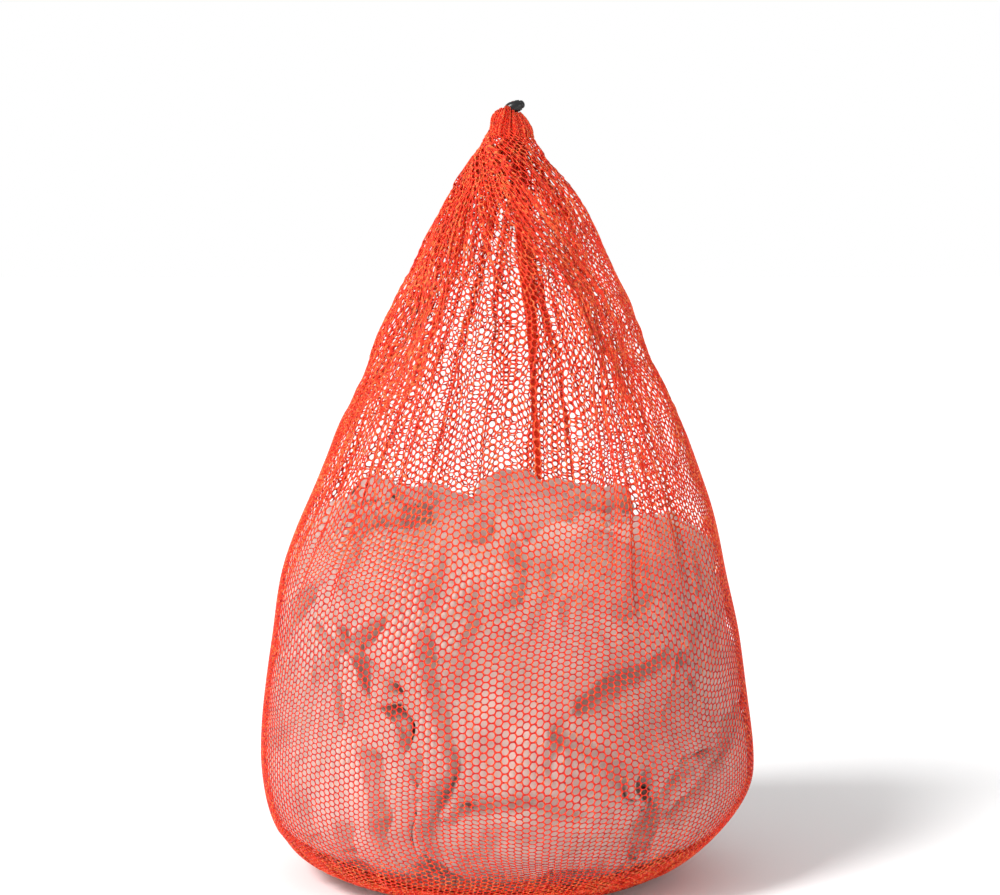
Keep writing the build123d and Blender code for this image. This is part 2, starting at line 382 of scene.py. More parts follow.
# ---------------- net strands
BAR_QUADS = (2, 3, 8, 9)  # the parts of a cell's edge along its level bars, where the knots are
FIRST_YARN, HIGHLIGHT_YARN, SHADE_YARN = 0, 1, 2  # the yarns' places in YARNS: the net's own red, its painted highlight and its painted shade
HIGHLIGHT_SHARE = 0.34  # the share of strands in the lighter yarn, painted highlight
HIGHLIGHT_PATCHES = 0.5  # and how far that drifts from patch to patch
SHADE_ON_LOAD = 0.80  # the share of knots in the darkest yarn, painted shade, where the net lies on the load
SHADE_HUNG = 0.35  # where it hangs free
SHADE_AT_FOOT = 0.2  # and how little of that is left at the foot
SAME_PLACE = 2e-5  # points nearer than this are welded


def cell_shape():
    """Points on a cell's edge, where the strands' middles run, and as many on its hole."""
    a, p = COLUMN_STEP, ROW_STEP
    upper = np.array([(2 * a / 3, 0), (a / 3, p / 2), (-a / 3, p / 2)])
    corners = np.vstack([upper, -upper])
    edge = np.empty((CELL_SIDES, 2))
    edge[0::2] = corners
    edge[1::2] = (corners + np.roll(corners, -1, 0)) / 2
    reach = np.linalg.norm(edge, axis=1)
    side = np.roll(corners, -1, 0) - corners
    normal = unit(np.column_stack([side[:, 1], -side[:, 0]]))
    to_edge = (normal * corners).sum(1)
    circle = to_edge.mean() - STRAND / 2
    true_corner = reach[0::2] * (1 - STRAND / 2 / to_edge.mean())
    hole_reach = np.empty(CELL_SIDES)
    hole_reach[1::2] = (to_edge - STRAND / 2) * reach[1::2] / to_edge
    hole_reach[0::2] = true_corner + (circle - true_corner) * HOLE_ROUND
    return edge, unit(edge) * hole_reach[:, None]


EDGE, HOLE = cell_shape()


def weld(points):
    """One number for each point, the same for points in the same place, and the points themselves."""
    keys = np.round(points / SAME_PLACE).astype(np.int64)
    _, first, same = np.unique(keys[:, 0] * 10_000_019 + keys[:, 1], return_index=True, return_inverse=True)
    return same.ravel(), points[first]


def cell_centres(columns, rows, offset=0.5):
    """The flat net's cells: every second column stands half a row higher."""
    i, j = (g.ravel() for g in np.meshgrid(columns, rows, indexing="ij"))
    return np.column_stack([(i + offset) * COLUMN_STEP, (j + offset + 0.5 * (i % 2)) * ROW_STEP])


def yarn_of_strands(centres, deep):
    """Which of the three yarns each part of each cell's edge is in. Besides the net's own red, one is a
    lighter copy, painted highlight, and one a darker copy, painted shade.
    """
    count = len(centres)
    rng = np.random.default_rng(SEED + 3 + count)
    patch = noise(np.column_stack([centres * 22, np.zeros(count)]))
    # Painted highlight: a share of strands take the lighter copy of the red, fewer where there is more
    # painted shade
    highlighted = (HIGHLIGHT_SHARE + HIGHLIGHT_PATCHES * patch) * (1.15 - deep)
    yarn = np.where(rng.random((count, CELL_SIDES)) < highlighted[:, None], HIGHLIGHT_YARN, FIRST_YARN)
    # Knots on the level bars, and more strands where deep is high, take the darkest yarn: painted shade
    shaded_knots = rng.random((count, len(BAR_QUADS))) < deep[:, None]
    yarn[:, BAR_QUADS] = np.where(shaded_knots, SHADE_YARN, yarn[:, BAR_QUADS])
    return np.where(rng.random((count, CELL_SIDES)) < 0.5 * (deep[:, None] - 0.3), SHADE_YARN, yarn)


def strands(centres, place, openness, name, deep=0.5):
    """A net of these cells as one closed mesh. place turns flat points into places and outward normals.

    deep is the share of the knots, for all cells or for each, that are in the darkest of the three yarns,
    the copy with painted shade."""
    count = len(centres)
    openness = np.broadcast_to(openness, count)
    same, edge_points = weld((centres[:, None] + EDGE).reshape(-1, 2))
    on_edge, edge_out = place(edge_points)
    in_hole, _ = place((centres[:, None] + HOLE * openness[:, None, None]).reshape(-1, 2))
    front = same.reshape(count, CELL_SIDES)
    edges = len(edge_points)
    lift = np.full(edges, STRAND_UP)
    lift[front[:, 0::2]] = KNOT_UP
    lifted = edge_out * lift[:, None]
    vertices = np.vstack([on_edge + lifted, on_edge - lifted, in_hole])
    hole = 2 * edges + np.arange(count * CELL_SIDES).reshape(count, CELL_SIDES)
    next_front, next_hole = np.roll(front, -1, 1), np.roll(hole, -1, 1)
    a, b = front.ravel(), next_front.ravel()
    sides = np.minimum(a, b) * edges + np.maximum(a, b)
    _, index, times = np.unique(sides, return_index=True, return_counts=True)
    rim = index[times == 1]
    quads = [
        np.stack([front, next_front, next_hole, hole], -1).reshape(-1, 4),
        np.stack([next_front + edges, front + edges, hole, next_hole], -1).reshape(-1, 4),
        np.stack([b[rim], a[rim], a[rim] + edges, b[rim] + edges], -1),
    ]
    yarn = yarn_of_strands(centres, np.broadcast_to(deep, count)).ravel()
    yarn = np.concatenate([yarn, yarn, np.full(len(rim), FIRST_YARN)])
    return make_mesh(name, vertices, np.vstack(quads), shade=yarn)


def in_scene(obj):
    bpy.context.scene.collection.objects.link(obj)
    return obj


def make_mesh(name, vertices, *faces, shade=None):
    """A smooth-shaded object from vertices and arrays of faces, each array with as many corners a face."""
    mesh = bpy.data.meshes.new(name)
    mesh.vertices.add(len(vertices))
    mesh.vertices.foreach_set("co", vertices.astype(np.float32).ravel())
    sides = np.concatenate([np.full(len(f), f.shape[1], np.int32) for f in faces])
    starts = np.concatenate([[0], np.cumsum(sides)[:-1]])
    corners = np.concatenate([f.ravel() for f in faces]).astype(np.int32)
    mesh.loops.add(len(corners))
    mesh.loops.foreach_set("vertex_index", corners)
    mesh.polygons.add(len(sides))
    mesh.polygons.foreach_set("loop_start", starts.astype(np.int32))
    mesh.polygons.foreach_set("loop_total", sides)
    if shade is not None:
        mesh.polygons.foreach_set("material_index", shade.astype(np.int32))
    mesh.update(calc_edges=True)
    mesh.validate()
    mesh.shade_smooth()
    return in_scene(bpy.data.objects.new(name, mesh))


def grid_mesh(name, grid, ends=None):
    """A closed mesh from a grid of points that closes on itself along its second side.

    ends are the points that close its first and last rows. Without them it closes that way round too."""
    rows, columns = grid.shape[:2]
    number = np.arange(rows * columns).reshape(rows, columns)
    if ends is None:
        here, ahead = number, np.roll(number, -1, 0)
    else:
        here, ahead = number[:-1], number[1:]
    faces = [np.stack([here, np.roll(here, -1, 1), np.roll(ahead, -1, 1), ahead], -1).reshape(-1, 4)]
    vertices = grid.reshape(-1, 3)
    if ends is not None:
        first, last = number[0], number[-1]
        vertices = np.vstack([vertices, ends[0], ends[1]])
        pole = np.full(columns, rows * columns)
        faces.append(np.stack([np.roll(first, -1), first, pole], -1))
        faces.append(np.stack([last, np.roll(last, -1), pole + 1], -1))
    return make_mesh(name, vertices, *faces)


# ---------------- pieces of the net
PULL_GRAIN, PULL = 6.5, (0.018, 0.062)  # rows run askew: noise scale, and how far, sideways and upwards
BASE_PULL = (0.012, 0.012)
LOOSE_GRAIN, LOOSE = 24, 0.0045  # cells differ where the net hangs free
KNOT_GRAIN, KNOTS_OUT = 140, 0.00066  # and knots lie a little out of line
STITCHED = 0.05  # near a seam the net isn't pulled out of line


def row_map():
    """The flat height of the net, and the height up the wall that each part of it hangs at."""
    up = np.linspace(0, WALL_HEIGHT, 400)
    _, height = outline(RIM_AT + up)
    stretch = FOOT_ROW + (BELLY_ROW - FOOT_ROW) * smoothstep(0.06, 0.22, height)
    stretch += (CONE_ROW - BELLY_ROW) * smoothstep(0.26, 0.50, height)
    flat = np.concatenate([[0], np.cumsum(np.diff(up) / stretch[1:])])
    return flat, up


WALL = wall_surface()
WALL_OUT = surface_normals(WALL)
FLAT_UP, HUNG_UP = row_map()
NET_HEIGHT = FLAT_UP[-1]


def drawn_in():
    """How narrow the net's cells are drawn at each point of the wall, 1 where they keep their width."""
    across = np.linalg.norm(np.roll(WALL, -1, 1) - np.roll(WALL, 1, 1), axis=-1)
    return np.clip(across / (2 * NET_WIDTH / FINE_U), 0.05, 1.3)[..., None]


DRAWN_IN = drawn_in()


def pulled(flat, spot, ease, askew, loose):
    """The flat net as handling has pulled it about: uneven knots, and rows that run askew."""
    moved = flat.copy()
    for k in (0, 1):
        moved[:, k] += ease * askew[k] * noise(spot * PULL_GRAIN + 17 * k)
        moved[:, k] += ease * loose * noise(spot * LOOSE_GRAIN + 29 * k)
        moved[:, k] += ease * KNOTS_OUT * noise(spot * KNOT_GRAIN + 5 * k)
    return moved


def pulled_wall(flat):
    spot = around(NET_WIDTH / (2 * pi), 2 * pi * flat[:, 0] / NET_WIDTH, flat[:, 1])
    ease = smoothstep(0, 0.06, flat[:, 1]) * (1 - smoothstep(NET_HEIGHT - STITCHED, NET_HEIGHT, flat[:, 1]))
    loose = LOOSE * smoothstep(0.36 * NET_HEIGHT, 0.52 * NET_HEIGHT, flat[:, 1])
    return pulled(flat, spot, ease, PULL, loose)


def pulled_base(flat):
    spot = np.column_stack([flat, np.zeros(len(flat))])
    ease = 1 - smoothstep(RIM_AT - STITCHED, RIM_AT, np.hypot(flat[:, 0], flat[:, 1]))
    return pulled(flat, spot, ease, BASE_PULL, 0)


def grid_place(flat):
    """Rows and columns of the wall's grid at points of the flat wall."""
    row = np.interp(flat[:, 1], FLAT_UP, HUNG_UP) / WALL_HEIGHT * FINE_V
    return row, flat[:, 0] / NET_WIDTH * FINE_U - 0.5


def on_wall(flat):
    """Places and outward normals of points of the flat wall, (round the bag, up from the rim)."""
    row, column = grid_place(pulled_wall(flat))
    return sample(WALL, row, column), unit(sample(WALL_OUT, row, column))


def on_base(flat):
    """Places and outward normals of points of the flat base panel."""
    flat = pulled_base(flat)
    at = np.minimum(np.hypot(flat[:, 0], flat[:, 1]), RIM_AT)
    turn = np.arctan2(flat[:, 1], flat[:, 0])
    radius, z = outline(at)
    radius_ahead, z_ahead = outline(at + 0.002)
    places = on_bag(belly_shape(radius, turn, z), turn, z)
    slope = unit(np.column_stack([radius_ahead - radius, z_ahead - z]))
    return places + np.array([0, 0, KNOT_UP]), around(slope[:, 1], turn, -slope[:, 0])


def wall_openness(centres):
    """The share of its size that each cell's hole keeps: where cells are narrow, strands are as thick."""
    row, column = grid_place(centres)
    width = COLUMN_STEP * sample(DRAWN_IN, row, column)[:, 0]
    _, height = outline(row / FINE_V * WALL_HEIGHT + RIM_AT)
    strand = STRAND + (HUNG_STRAND - STRAND) * smoothstep(*STRANDS_THIN, height)
    return np.clip((width - strand) / width / (1 - STRAND / COLUMN_STEP), 0.25, 1.10)


def net_wall_pieces():
    """The wall in strips, side by side, as one mesh of it would be too large to export."""
    pieces = []
    rows = int(NET_HEIGHT / ROW_STEP) + 1
    starts = 2 * (np.arange(WALL_PIECES + 1) * COLUMNS // WALL_PIECES // 2)
    for k in range(WALL_PIECES):
        centres = cell_centres(np.arange(starts[k], starts[k + 1]), np.arange(-1, rows + 1))
        centres = centres[(centres[:, 1] > 0) & (centres[:, 1] < NET_HEIGHT)]
        # More knots in painted shade where the net lies on the load than where it hangs free, and fewer at
        # the foot
        hung = smoothstep(0.42 * NET_HEIGHT, 0.52 * NET_HEIGHT, centres[:, 1])
        deep = SHADE_ON_LOAD + (SHADE_HUNG - SHADE_ON_LOAD) * hung
        deep = deep * (SHADE_AT_FOOT + (1 - SHADE_AT_FOOT) * smoothstep(0.03, 0.10, centres[:, 1]))
        pieces.append(strands(centres, on_wall, wall_openness(centres), f"net_wall_{k + 1}", deep))
    return pieces


def net_base_piece():
    reach = int(RIM_AT / COLUMN_STEP) + 2
    centres = cell_centres(np.arange(-reach, reach), np.arange(-reach, reach), 0)
    centres = centres[np.hypot(centres[:, 0], centres[:, 1]) < RIM_AT - 0.3 * ROW_STEP]
    return strands(centres, on_base, 1, "net_base_panel")


# ---------------- seams
BAND_TOP = np.array([(-1, 0), (-0.86, 0.75), (-0.5, 1), (0, 0.8), (0.5, 1), (0.86, 0.75)])
BAND_SECTION = np.vstack([BAND_TOP, -BAND_TOP])  # across the band and out of it, as shares of its half size
SIDE_SEAM_IN = 0.0032  # how far inside the net's outline the side seam lies
SIDE_SEAM_POINTS = 1500
BINDING_WIDTH = 0.0032  # half the side seam's width over the load
BUNCHED_WIDTH = 0.0052  # and how much more where it is bunched with the net
BINDING_THICK = 0.0013  # half its thickness
STITCH = 0.0032  # from one stitch to the next
STITCH_UP = 0.0003  # how far the stitches stand out
BASE_SEAM_IN = 0.0034
BASE_SEAM_POINTS = 1400
BASE_STITCHES = 360
TURNED_ROWS = 6  # rows of net turned in at the base seam


def band(centre, out, width, thick, ends):
    """A flat sewn band as a grid: points round its section at each point of its middle line."""
    run = np.gradient(centre, axis=0)
    if not ends:
        run = (np.roll(centre, -1, 0) - np.roll(centre, 1, 0)) / 2
    across = unit(np.cross(unit(run), out))
    flat, high = BAND_SECTION.T
    wide = across[:, None] * (flat * width[:, None])[..., None]
    deep = out[:, None] * (high * thick[:, None])[..., None]
    return centre[:, None] + wide + deep


def side_seam_piece():
    foot, top = (corner.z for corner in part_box("side_seam"))
    height = np.linspace(foot, top, SIDE_SEAM_POINTS)
    turn = SEAM_AT + 0.010 * np.sin(height * 31) * smoothstep(0.35, 0.45, height)
    centre = on_bag(belly_shape(radius_at(height) - SIDE_SEAM_IN, turn, height), turn, height)
    centre[:, 1] *= flattened(turn, height)
    out = unit(around(1, turn, 0.3))
    bunched = smoothstep(0.47, 0.60, height) * (1 - 0.5 * smoothstep(0.68, 0.722, height))
    stitch = STITCH_UP * np.sin(height * 2 * pi / STITCH)
    width = BINDING_WIDTH + BUNCHED_WIDTH * bunched + stitch + 0.0008 * noise(centre * 45)
    sewn = band(centre, out, width, BINDING_THICK + stitch, True)
    return grid_mesh("side_seam_band", sewn, (centre[0], centre[-1]))


def base_seam_piece():
    turn = np.linspace(0, 2 * pi, BASE_SEAM_POINTS, endpoint=False)
    bottom, top = (corner.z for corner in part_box("base_seam"))
    ring = around(1, turn, 0)
    ruffle = np.abs(noise(ring * 22) * 0.0022)
    height = (bottom + top) / 2 + 0.0008 + noise(ring * 17 + 4) * 0.002
    radius = belly_shape(radius_at(height) - BASE_SEAM_IN - ruffle, turn, height)
    out = ring * 0.55 + np.array([0, 0, -0.83])
    stitch = np.sin(turn * BASE_STITCHES)
    width = 0.0046 + 0.0004 * stitch + 0.001 * noise(ring * 40)
    thick = 0.0010 + STITCH_UP * stitch
    return grid_mesh("base_seam_band", band(on_bag(radius, turn, height), out, width, thick, False))


def on_turned_edge(flat):
    turn = flat[:, 0] / NET_WIDTH * 2 * pi
    ring = around(1, turn, flat[:, 1] * 9)
    at = RIM_AT - 0.016 + flat[:, 1] * 0.86 + 0.004 * noise(ring * 9)
    radius, z = outline(at)
    radius = belly_shape(radius, turn, z) - 0.0042 - 0.003 * np.abs(noise(ring * 14 + 3))
    places = on_bag(radius, turn, z) + np.array([0, 0, 0.0026])
    return places, unit(around(1, turn, -1.2))


def seam_net_piece():
    """The edges of base and wall, turned in along the base seam: a second layer of net low down."""
    centres = cell_centres(np.arange(COLUMNS), np.arange(TURNED_ROWS))
    return strands(centres, on_turned_edge, 0.92, "base_seam_net", 0.1)


# ---------------- load
LOW_TURNS = (0, 40, 46, 90, 134, 138, 180, 225, 246, 254, 300, 306, 310, 325, 340, 360)
LOW_HEIGHTS = (  # of the side bundles' lower edges, at those directions in degrees
    *(0.165, 0.140, 0.115, 0.100, 0.110, 0.085, 0.070, 0.058),
    *(0.050, 0.042, 0.042, 0.044, 0.106, 0.134, 0.158, 0.165),
)
NET_CLEAR = 0.0048  # between the net's middle surface and the load
FOOT_ROUNDED = 0.040  # how much further in the load is at the floor
STAND_BACK = 0.009  # how far behind its reach a bundle's crumples start
EASED = 0.003  # crumples that come nearer the net than this are pressed flat
CREASE_RADIUS = 0.232  # the distance from the axis that the creases below are laid out at
CREASES = (  # points (direction in degrees, height), depth, width, and how far one lip stands over it
    (((203, 0.243), (208, 0.228), (213, 0.216)), 0.037, 0.0034, 0.5),
    (((226, 0.236), (227, 0.212), (228, 0.184)), 0.027, 0.0042, 0.3),
    (((216, 0.262), (225, 0.250), (233, 0.262), (238, 0.275)), 0.024, 0.0045, 0.5),
    (((199, 0.262), (202, 0.285), (208, 0.297)), 0.031, 0.0050, 0.5),
    (((232, 0.240), (240, 0.212), (246, 0.170), (248, 0.130)), 0.052, 0.0046, -0.4),
    (((250, 0.262), (255, 0.205), (258, 0.150), (252, 0.085)), 0.020, 0.0085, -0.6),
    (((315, 0.096), (323, 0.114), (334, 0.146)), 0.052, 0.0070, 0.1),
    (((264, 0.300), (262, 0.230)), 0.014, 0.0110, 0.4),
    (((236, 0.150), (240, 0.100), (241, 0.070)), 0.024, 0.0065, -0.4),
    (((290, 0.205), (303, 0.232), (316, 0.245)), 0.022, 0.0070, 0.6),
    (((284, 0.180), (296, 0.150), (303, 0.118)), 0.019, 0.0085, 0.5),
    (((322, 0.215), (327, 0.190), (330, 0.165)), 0.031, 0.0040, -0.4),
    (((300, 0.046), (318, 0.056), (334, 0.084)), 0.020, 0.0036, 0.4),
    (((262, 0.105), (275, 0.120), (288, 0.105)), 0.017, 0.0090, 0.5),
    (((272, 0.340), (282, 0.322), (300, 0.318)), 0.017, 0.0090, 0.5),
    (((20, 0.250), (28, 0.200), (26, 0.150)), 0.034, 0.0050, 0.5),
    (((75, 0.300), (84, 0.240), (80, 0.160)), 0.031, 0.0060, 0.5),
    (((104, 0.260), (112, 0.200), (118, 0.160)), 0.031, 0.0045, -0.5),
    (((150, 0.280), (158, 0.220), (155, 0.140)), 0.034, 0.0050, 0.5),
    (((175, 0.200), (182, 0.150), (192, 0.120)), 0.031, 0.0050, -0.4),
)
RUMPLES = ((12, 0, 0.064), (29, 11, -0.020), (66, 5, 0.006))  # noise scale, shift and height, broad to fine
RUMPLES_BACK = 0.002  # how far the crumpled cloth lies behind its middle surface
EDGES = {  # heights up each edge between bundles, and its directions there in degrees
    "right-rear": ((0.10, 0.25, 0.40), (47, 42, 48)),
    "rear-left": ((0.07, 0.22, 0.40), (131, 139, 133)),
    "left-front": ((0.05, 0.13, 0.184, 0.232, 0.26, 0.30, 0.40), (250, 248, 244, 231, 224, 221, 223)),
    "front-right": ((0.04, 0.155, 0.184, 0.234, 0.283, 0.33, 0.38), (306, 307, 309, 320, 331, 334, 328)),
}
BUNDLES = (  # name, the edges it starts and ends at, height of its top
    ("cloth_right", "front-right", "right-rear", 0.344),
    ("cloth_rear", "right-rear", "rear-left", 0.358),
    ("cloth_left", "rear-left", "left-front", 0.366),
    ("cloth_front", "left-front", "front-right", 0.352),
)
EDGE_SLANT_AT = 0.2  # the height that a bundle's length is taken at
TOP_WAVES = 0.014  # how far a bundle's top rises and falls
TAPER = 0.020  # how far a bundle's end rounds off
ON_BASE_CLOTH = 0.013  # thickness of a bundle where it hangs over the base cloth
CORE_REACH = 0.082  # how near the axis the bundles reach above it
CORE_RADIUS = 0.079
CORE_FOOT = 0.110
CORE_TOP_IN = 0.030
BASE_CLOTH_TOP = 0.106
BASE_CLOTH_FOOT = 0.007
BASE_CLOTH_UNDER = 0.012  # how far the base cloth reaches up under the bundles
BASE_CLOTH_IN = 0.021  # and how far it draws in there
LOAD_FOOT = 0.006  # nothing of the load hangs lower


def load_low(turn):
    """Height of the side bundles' lower edges, by direction."""
    return np.interp(np.degrees(turn) % 360, LOW_TURNS, LOW_HEIGHTS)


def load_reach(turn, z):
    """How far the load may reach from the axis: just inside the net, and rounder at the foot."""
    z = np.maximum(z, 0.001)
    return belly_shape(radius_at(z), turn, z) - NET_CLEAR - FOOT_ROUNDED * (1 - smoothstep(0.0, 0.062, z))


def near_line(turn, z, line):
    """How far points on the load's side are from a line there, and which side of it they are on."""
    x, y = CREASE_RADIUS * turn, z
    best, side = np.full(np.shape(x), 1.0), np.zeros(np.shape(x))
    points = [(CREASE_RADIUS * degrees * pi / 180, height) for degrees, height in line]
    for (ax, ay), (bx, by) in zip(points, points[1:]):
        length = (bx - ax) ** 2 + (by - ay) ** 2
        part = np.clip(((x - ax) * (bx - ax) + (y - ay) * (by - ay)) / length, 0, 1)
        gap = np.hypot(x - ax - part * (bx - ax), y - ay - part * (by - ay))
        cross = ((bx - ax) * (y - ay) - (by - ay) * (x - ax)) / np.sqrt(length)
        side = np.where(gap < best, np.sign(cross), side)
        best = np.minimum(best, gap)
    return best, side


def crumpled(points, turn, z, on_side):
    """How far crumpled cloth stands out at each point, in metres."""
    warp = np.stack([noise(points * 15 + shift) for shift in (7.3, 31.7, 53.1)], -1)
    bent = (points + 0.055 * warp) * np.array([1, 1, 0.62])
    height = layers(bent, RUMPLES, np.abs) - RUMPLES_BACK
    turn = turn + 0.075 * noise(points * 17 + 71)
    z = z + 0.014 * noise(points * 17 + 83)
    for line, depth, width, lip in CREASES:
        gap, side = near_line(turn, z, line)
        groove = np.exp(-((gap / width) ** 2))
        over = np.exp(-(((gap - 2.4 * width) / (1.7 * width)) ** 2)) * (side * np.sign(lip) > 0)
        height = height + on_side * (abs(lip) * depth * over - depth * groove)
    return height


def crumple(grid, amount):
    """The grid's points moved in or out as crumpled cloth is, and kept inside the net."""
    across = np.roll(grid, -1, 1) - np.roll(grid, 1, 1)
    out = unit(np.cross(across, np.gradient(grid, axis=0)), 1e-9)
    if (out * (grid - grid.mean((0, 1)))).sum() < 0:
        out = -out
    turn = np.arctan2(grid[..., 1], grid[..., 0]) % (2 * pi)
    on_side = smoothstep(0.3, 0.8, out[..., 0] * np.cos(turn) + out[..., 1] * np.sin(turn))
    moved = grid + out * (amount * crumpled(grid, turn, grid[..., 2], on_side))[..., None]
    turn = np.arctan2(moved[..., 1], moved[..., 0])
    reach = np.hypot(moved[..., 0], moved[..., 1])
    most = load_reach(turn, moved[..., 2])
    under = np.maximum(most - reach, -0.02)
    pressed = EASED * np.exp(np.minimum((under - EASED) / EASED, 0))
    eased = most - np.where(under > EASED, under, pressed)
    moved[..., :2] *= np.minimum(1, eased / np.maximum(reach, 1e-6))[..., None]
    moved[..., 2] = np.maximum(moved[..., 2], LOAD_FOOT)
    moved[..., 0] += seam_shift(moved[..., 2])
    return moved


def section(count, corner):
    """Points round a unit square with rounded corners, closest together on its outer side."""
    quarter = np.linspace(0, pi / 2, 12)[:, None]
    near, far = corner, 1 - corner
    loop = []
    for k, (x, y) in enumerate([(far, near), (far, far), (near, far), (near, near)]):
        angle = quarter + (k - 1) * pi / 2
        loop.append(np.hstack([x + corner * np.cos(angle), y + corner * np.sin(angle)]))
    loop = np.vstack([*loop, loop[0][:1]])
    weight = np.where(loop[1:, 0] + loop[:-1, 0] > 1.2, 2.2, 1.0)
    run = np.concatenate([[0], np.cumsum(np.linalg.norm(np.diff(loop, axis=0), axis=1) * weight)])
    at = np.linspace(0, run[-1], count, endpoint=False)
    return np.column_stack([np.interp(at, run, loop[:, 0]), np.interp(at, run, loop[:, 1])])


def edge_turn(name, z):
    heights, degrees = EDGES[name]
    wavy = np.interp(z, heights, degrees) + 1.2 * np.sin(z * 90 + len(name))
    return wavy * pi / 180


def bundle_piece(name, first, last, top):
    """One crumpled cloth round the load's side, from its lower edge to its top."""
    steps = 210
    part = 0.35 * (1 - np.cos(np.linspace(0, pi, steps))) / 2 + 0.65 * np.linspace(0, 1, steps)
    a, b = (np.tile(side, (steps, 1)) for side in section(230, 0.16).T)
    start, end = edge_turn(first, EDGE_SLANT_AT), edge_turn(last, EDGE_SLANT_AT)
    rough = start + part * ((end - start) % (2 * pi))
    from_end = np.minimum(part, 1 - part) * 0.22 * ((end - start) % (2 * pi))
    full = np.sqrt(1 - np.clip(1 - from_end / TAPER, 0, 1) ** 2)
    full = np.maximum(full, 0.02)[:, None]
    closing = np.where(full < 0.3, full / 0.3, 1)
    a = 0.5 + (a - 0.5) * (0.55 + 0.45 * full) * closing
    b = 0.5 + (b - 0.5) * (0.80 + 0.20 * full) * closing
    wavy = top + TOP_WAVES * noise(around(9, rough, 0))
    low = load_low(rough)
    z = low[:, None] + b * (wavy - low)[:, None]
    start, end = edge_turn(first, z), edge_turn(last, z)
    turn = start + part[:, None] * ((end - start) % (2 * pi))
    reach = load_reach(turn, z) - STAND_BACK
    inner = reach - ON_BASE_CLOTH
    inner = inner + (CORE_REACH - inner) * smoothstep(0.108, 0.124, z)
    grid = crumple(around(inner + a * (reach - inner), turn, z), full)
    return grid_mesh(name + "_bundle", grid, (grid[0].mean(0), grid[-1].mean(0)))


def core_piece():
    """The cloth in the middle, from the base cloth up."""
    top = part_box("cloth_middle")[1].z
    loop = section(400, 0.2)
    loop = loop[loop[:, 0] > 0.5]
    loop = loop[np.argsort(loop[:, 1], kind="stable")]
    turn = np.linspace(0, 2 * pi, 220, endpoint=False)
    radius = (loop[:, 0] - 0.5) * 2 * CORE_RADIUS
    z = CORE_FOOT + loop[:, 1] * (top - CORE_TOP_IN - CORE_FOOT)
    grid = crumple(around(radius[:, None], turn, z[:, None]), 1.0)
    return grid_mesh("cloth_middle_bundle", grid, ((0, 0, z[0]), (0, 0, z[-1])))


def base_cloth_piece():
    """The cloth at the bottom, that the others rest on and hang over."""
    turn = np.linspace(0, 2 * pi, 720, endpoint=False)
    share = np.linspace(0, 1, 150)  # along the section: under it, up its side, and in over its top
    side_start, side_end = 0.30, 0.78
    top = np.maximum(BASE_CLOTH_TOP, load_low(turn) + BASE_CLOTH_UNDER)
    up = np.clip((share - side_start) / (side_end - side_start), 0, 1)[:, None]
    z = BASE_CLOTH_FOOT + (top - BASE_CLOTH_FOOT) * up
    covered = smoothstep(load_low(turn) - 0.010, load_low(turn) + 0.004, z)
    reach = load_reach(turn, z) - 0.6 * STAND_BACK - BASE_CLOTH_IN * covered
    over = np.where(share > side_end, (1 - share) / (1 - side_end), 1)
    inward = np.where(share < side_start, share / side_start, over)[:, None]
    z = z + 0.010 * smoothstep(0.0, 0.5, 1 - inward) * (share > side_end)[:, None]
    grid = crumple(around(np.maximum(reach * inward, 0.002), turn, z), np.clip(0.2 + inward, 0, 1))
    bottom, middle = grid[0, :, 2].mean(), grid[-1, :, 2].mean()
    return grid_mesh("cloth_base_bundle", grid, ((0, 0, bottom), (0, 0, middle)))


# ---------------- gathered mouth
MOUTH_PLEATS = 22
MOUTH_PROFILE = (  # part of the way over, distance from the axis, height
    (0.00, 0.0196, 0.7275),
    (0.20, 0.0181, 0.7365),
    (0.45, 0.0138, 0.7430),
    (0.70, 0.0090, 0.7485),
    (0.88, 0.0070, 0.7505),
    (1.00, 0.0045, 0.7450),
)
HUMP_TURN, HUMP_OUT, HUMP_UP = 3.35, 0.0062, 0.0018  # the gathers bulge at the left (turns in radians)
PEAK_TURN, PEAK_UP = 4.28, 0.0066  # and stand up against the lock in front
MOUTH_TOP = 0.7440  # the opening's lip
MOUTH_DEPTH = 0.0130
MOUTH_RADIUS = 0.0046
MOUTH_COLUMNS, MOUTH_ROWS = 110, 7  # of the net gathered over the hem


def near_turn(turn, middle, spread):
    return np.exp(-(((turn - middle + pi) % (2 * pi) - pi) / spread) ** 2)


def mouth_place(turn, part, stand):
    """A point of the gathered hem, at a turn and part of the way from the neck over to the opening."""
    parts, radii, heights = zip(*MOUTH_PROFILE)
    wander = turn + 0.10 * np.sin(3 * turn + 1) + 0.07 * np.sin(7 * turn)
    fold = np.abs(np.sin(wander * MOUTH_PLEATS / 2)) ** 0.8
    small = np.sin(wander * MOUTH_PLEATS * 1.5 + 2.0)
    high = smoothstep(0.10, 0.6, part)
    hump = near_turn(turn, HUMP_TURN, 0.60) * high * (1 - 0.75 * smoothstep(0.80, 1.0, part))
    peak = near_turn(turn, PEAK_TURN, 0.62) * smoothstep(0.45, 0.85, part)
    peak = peak * (1 - 0.4 * smoothstep(0.9, 1.0, part))
    radius = np.interp(part, parts, radii) * (0.87 + 0.19 * fold + 0.04 * small) + HUMP_OUT * hump
    z = np.interp(part, parts, heights) + 0.0012 * small * high + 0.0010 * fold * high
    z = z + HUMP_UP * hump + PEAK_UP * peak
    return around(radius + stand, turn, z + 0.4 * stand)


